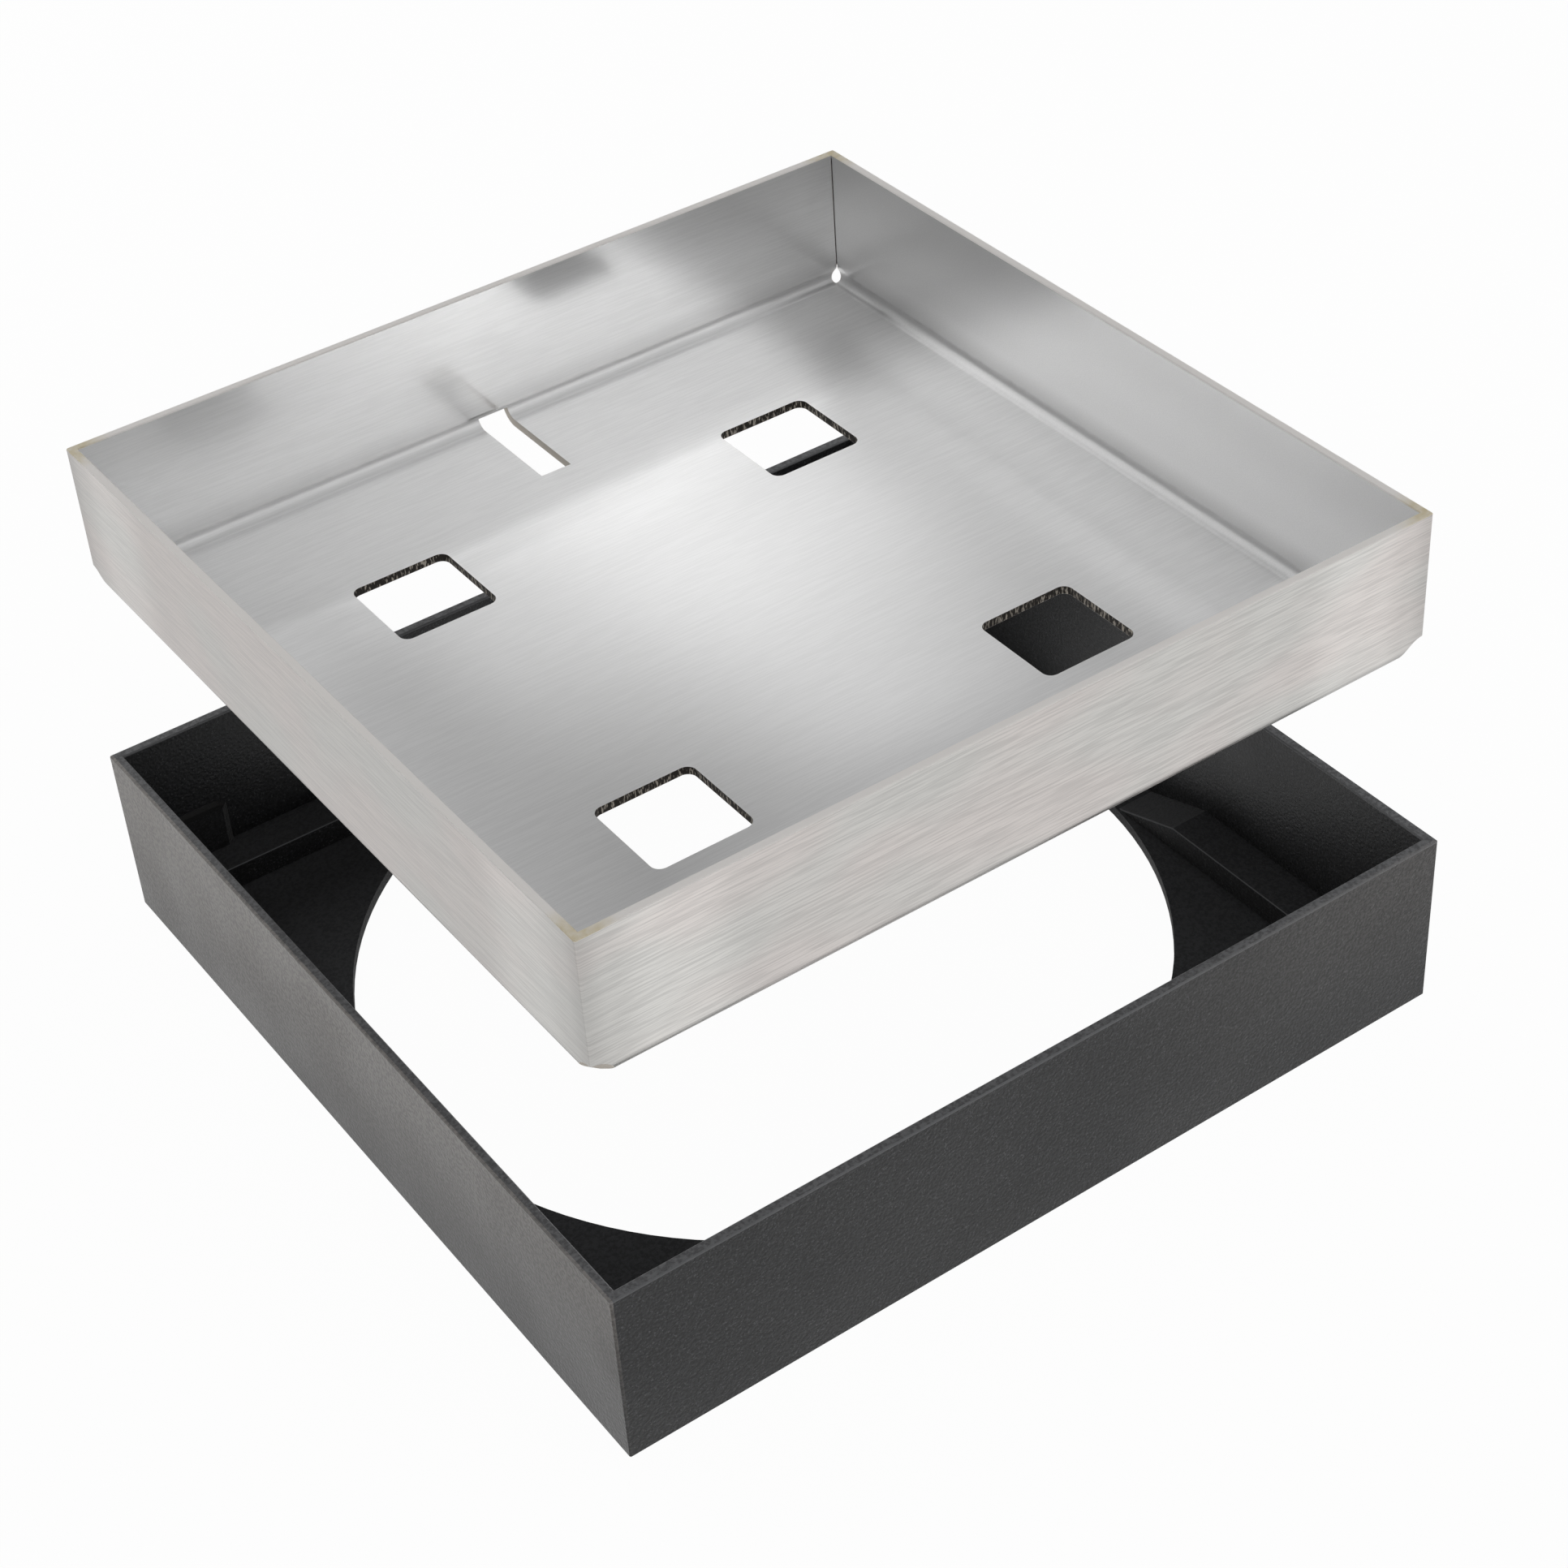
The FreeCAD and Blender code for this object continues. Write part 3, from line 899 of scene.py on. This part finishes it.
@dataclass(frozen=True)
class Softbox:
    """A soft lamp: a glowing rectangle that faces down, or faces a point."""

    name: str
    centre: Point
    width: float
    length: float
    glow: float
    target: Point | None = None

    def build(self) -> None:
        """Add the lamp."""
        lamp = bpy.data.lights.new(self.name, "AREA")
        lamp.shape = "RECTANGLE"
        lamp.size = self.width * MM
        lamp.size_y = self.length * MM
        # An area lamp's energy over pi times its area is the strength it glows with
        lamp.energy = self.glow * math.pi * lamp.size * lamp.size_y
        holder = bpy.data.objects.new(self.name, lamp)
        bpy.context.scene.collection.objects.link(holder)
        centre = Vector(self.centre)
        holder.location = centre * MM
        if self.target is not None:
            facing = Vector(self.target) - centre
            holder.rotation_euler = facing.to_track_quat("-Z", "Y").to_euler()
        holder.visible_camera = False
        log.info("%s: soft lamp %.0f by %.0f mm", self.name, self.width, self.length)


@dataclass(frozen=True)
class LampBank:
    """A row of equal soft lamps that face down, each with its own glow."""

    name: str
    first: Point
    size: tuple[float, float]
    step: tuple[float, float]
    glows: tuple[float, ...]

    def build(self) -> None:
        """Hang the lamps side by side."""
        x, y, z = self.first
        for number, glow in enumerate(self.glows):
            centre = (x + number * self.step[0], y + number * self.step[1], z)
            Softbox(f"{self.name}_{number}", centre, *self.size, glow).build()


@dataclass(frozen=True)
class Viewpoint:
    """The camera: its direction, and the place of the frame's underside centre before it.

    Angles are in degrees, and the azimuth is zero where the camera looks along +Y.
    """

    focal_px: float = 3915.0144
    azimuth: float = -32.8230
    elevation: float = 38.8084
    roll: float = 4.0999
    right: float = -7.6027
    down: float = 57.8980
    ahead: float = 1131.1398
    nearest_m: float = 0.01
    farthest_m: float = 100.0

    def build(self) -> None:
        """Add the camera and look through it."""
        azimuth, elevation, roll = map(math.radians, (self.azimuth, self.elevation, self.roll))
        forward = Vector(
            (
                -math.sin(azimuth) * math.cos(elevation),
                math.cos(azimuth) * math.cos(elevation),
                -math.sin(elevation),
            )
        )
        level = Vector((math.cos(azimuth), math.sin(azimuth), 0.0))
        below = forward.cross(level)
        right = math.cos(roll) * level + math.sin(roll) * below
        down = math.cos(roll) * below - math.sin(roll) * level
        eye = -(self.right * right + self.down * down + self.ahead * forward) * MM
        turn = Matrix((right, -down, -forward)).transposed().to_4x4()
        lens = bpy.data.cameras.new("camera")
        lens.sensor_width = SENSOR_MM
        lens.lens = self.focal_px / IMAGE_SIDE_PX * SENSOR_MM
        lens.clip_start, lens.clip_end = self.nearest_m, self.farthest_m
        camera = bpy.data.objects.new("camera", lens)
        bpy.context.scene.collection.objects.link(camera)
        camera.matrix_world = Matrix.Translation(eye) @ turn
        bpy.context.scene.camera = camera
        log.info("camera: %.1f mm lens", lens.lens)


@dataclass
class Studio:
    """The plain floor, the room's soft light, the lamps and the camera."""

    floor_side_m: float = 12.0
    floor_drop: float = 0.1
    paper: StudioPaper = StudioPaper()
    viewpoint: Viewpoint = Viewpoint()
    # The room's glow, and the share of the way up between which it fades out
    horizon_glow: float = 0.45
    horizon_fade: Range = (0.2, 0.6)
    # Each bank: its name, its first lamp's place, a lamp's width and length, the step along X
    # and Y to the next, and the glows. The banks hang at slightly different heights, so that
    # none hides another where they cross.
    banks: tuple[LampBank, ...] = (
        LampBank("beside", (890, 1350, 1347), (150, 1700), (150, 0), (1.08, 0.45)),
        LampBank("behind", (890, 1271, 1367), (1500, 150), (0, 150), (0.1, 0.5, 1.5, 0.15, 0.8)),
        LampBank(
            "front_right", (740, -1750, 1347), (150, 900), (150, 0), (0.57, 3.0, 4.7, 3.27, 2.3)
        ),
        LampBank("front", (890, -1400, 1367), (1500, 200), (0, -200), (0.6, 0.91, 0.54, 0.6)),
        LampBank(
            "back_left", (-1150, 1421, 1347), (700, 150), (0, 150), (1.54, 1.37, 1.21, 1.38)
        ),
        LampBank("left", (-1100, 1400, 1367), (200, 1500), (-200, 0), (0.45, 1.85, 2.41)),
        LampBank("front_left", (-1150, -1450, 1347), (800, 200), (0, -600), (1.82, 0.61)),
        LampBank("front_left_side", (-850, -1750, 1367), (200, 800), (-600, 0), (0.98, 1.39)),
        LampBank("ceiling_right", (890, -450, 1387), (1500, 1700), (0, 0), (0.84,)),
        LampBank("ceiling_back", (-300, 1600, 1387), (1000, 1400), (0, 0), (2.07,)),
    )
    above_camera: Softbox = Softbox(
        "above_camera", (-700, -1050, 2000), width=1200, length=1200, glow=1.5, target=(0, 0, 100)
    )

    def build(self) -> None:
        """Set up everything round the object."""
        bpy.context.scene.view_settings.view_transform = "Standard"
        self.build_floor()
        self.light_room()
        for bank in self.banks:
            bank.build()
        self.above_camera.build()
        self.viewpoint.build()

    def build_floor(self) -> None:
        """Lay the paper floor just under the frame."""
        mesh = bpy.data.meshes.new("studio_floor")
        shape = bmesh.new()
        bmesh.ops.create_grid(shape, x_segments=1, y_segments=1, size=self.floor_side_m / 2)
        bmesh.ops.translate(shape, verts=shape.verts, vec=(0.0, 0.0, -self.floor_drop * MM))
        shape.to_mesh(mesh)
        shape.free()
        floor = bpy.data.objects.new("studio_floor", mesh)
        bpy.context.scene.collection.objects.link(floor)
        mesh.materials.append(self.paper.build())
        log.info("studio_floor: paper, %.0f m", self.floor_side_m)

    def light_room(self) -> None:
        """Make the room: a pale glow near the horizon, and plain white to the camera."""
        world = bpy.data.worlds.new("studio_room")
        bpy.context.scene.world = world
        world.use_nodes = True
        tree = world.node_tree
        tree.nodes.clear()
        direction = add_node(tree, "TexCoord").outputs["Generated"]
        up = add_node(tree, "SeparateXYZ", inputs=(direction,)).outputs["Z"]
        horizon = add_node(
            tree, "MapRange", SMOOTH, (up, *self.horizon_fade, self.horizon_glow, 0.0)
        )
        to_camera = add_node(tree, "LightPath").outputs["Is Camera Ray"]
        strength = add_node(tree, "Math", MOST, (horizon, to_camera))
        glow = add_node(
            tree, "Background", inputs={"Color": (1.0, 1.0, 1.0, 1.0), "Strength": strength}
        )
        add_node(tree, "OutputWorld", inputs={"Surface": glow})


def main() -> None:
    """Build the cover and the studio in order."""
    logging.basicConfig(level=logging.INFO, format="%(message)s")
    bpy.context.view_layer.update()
    CoverFrame().build()
    RecessTray().build()
    Studio().build()


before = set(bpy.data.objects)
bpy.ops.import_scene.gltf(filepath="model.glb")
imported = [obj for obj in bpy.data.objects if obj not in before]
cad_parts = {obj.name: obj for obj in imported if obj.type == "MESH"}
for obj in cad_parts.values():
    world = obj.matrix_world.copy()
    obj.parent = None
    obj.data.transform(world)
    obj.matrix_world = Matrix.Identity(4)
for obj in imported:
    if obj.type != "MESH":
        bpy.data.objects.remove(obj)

if __name__ == "__main__":
    main()
